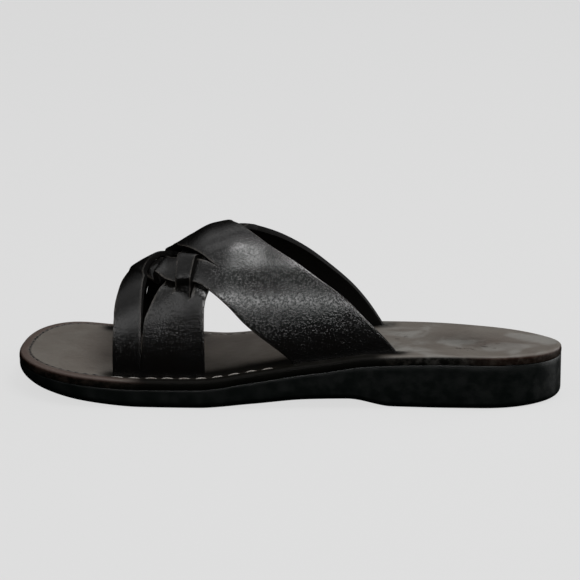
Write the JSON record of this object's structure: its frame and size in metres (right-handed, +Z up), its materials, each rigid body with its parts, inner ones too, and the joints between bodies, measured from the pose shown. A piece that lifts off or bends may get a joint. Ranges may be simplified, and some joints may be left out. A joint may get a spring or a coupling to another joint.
{
  "type": "woven strap sandal",
  "caption": "Open slip-on sandal for the left foot: wide leather straps cross and weave over a leather footbed on a low heeled rubber outsole.",
  "frame": {"origin": "bottom centre of the bounding box, on the floor that the sole stands on", "axes": "+X towards the toe, +Y towards the outer side of the left foot, +Z up"},
  "size_m": [0.278, 0.1018, 0.0846],
  "materials": {
    "outsole_rubber": "smooth moulded black rubber, satin",
    "footbed_leather": "matte smooth leather, darkened brown-black, worn",
    "strap_leather": "waxed near-black pebbled leather, semi-gloss"
  },
  "bodies": {
    "root": {"outsole": "outsole_rubber", "insole": "footbed_leather", "upper": "strap_leather"}
  },
  "joints": []
}
